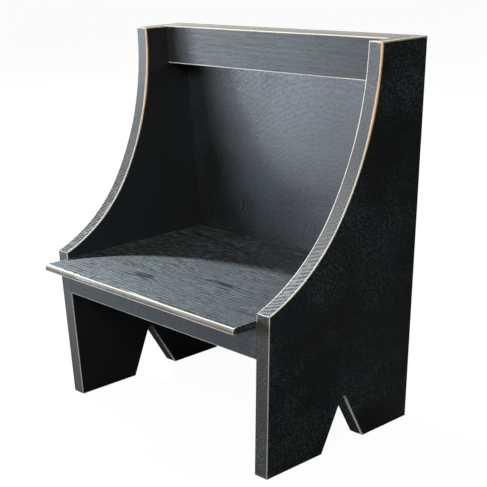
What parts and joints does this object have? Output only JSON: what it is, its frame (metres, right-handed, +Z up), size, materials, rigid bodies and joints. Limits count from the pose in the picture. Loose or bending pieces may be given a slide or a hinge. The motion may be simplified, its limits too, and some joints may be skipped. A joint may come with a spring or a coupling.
{
  "type": "settle bench",
  "caption": "Small high-backed settle bench with plank sides that sweep down to the seat, a board back with a top rail, and notched feet.",
  "frame": {"origin": "on the floor under the middle of the bench's outline", "axes": "+Z up, -Y towards the front of the seat, +X towards the right end as seen by someone facing the bench's front with +Y away from them"},
  "size_m": [0.706, 0.444, 0.762],
  "materials": {
    "painted_board": "black paint with a satin sheen over pine, rubbed through to the wood along the edges",
    "bare_dowel": "unpainted hardwood",
    "steel_fastener": "dull plain steel"
  },
  "bodies": {
    "root": {"left_side": "painted_board", "right_side": "painted_board", "seat_board": "painted_board", "front_apron": "painted_board", "top_rail": "painted_board", "back_panel": "painted_board", "rear_seat_rail": "painted_board", "left_seat_cleat": "painted_board", "right_seat_cleat": "painted_board", "top_rail_dowels": "bare_dowel", "apron_dowels": "bare_dowel", "rear_rail_dowels": "bare_dowel", "cleat_nails": "steel_fastener", "seat_screws": "steel_fastener", "back_nails": "steel_fastener"}
  },
  "joints": []
}
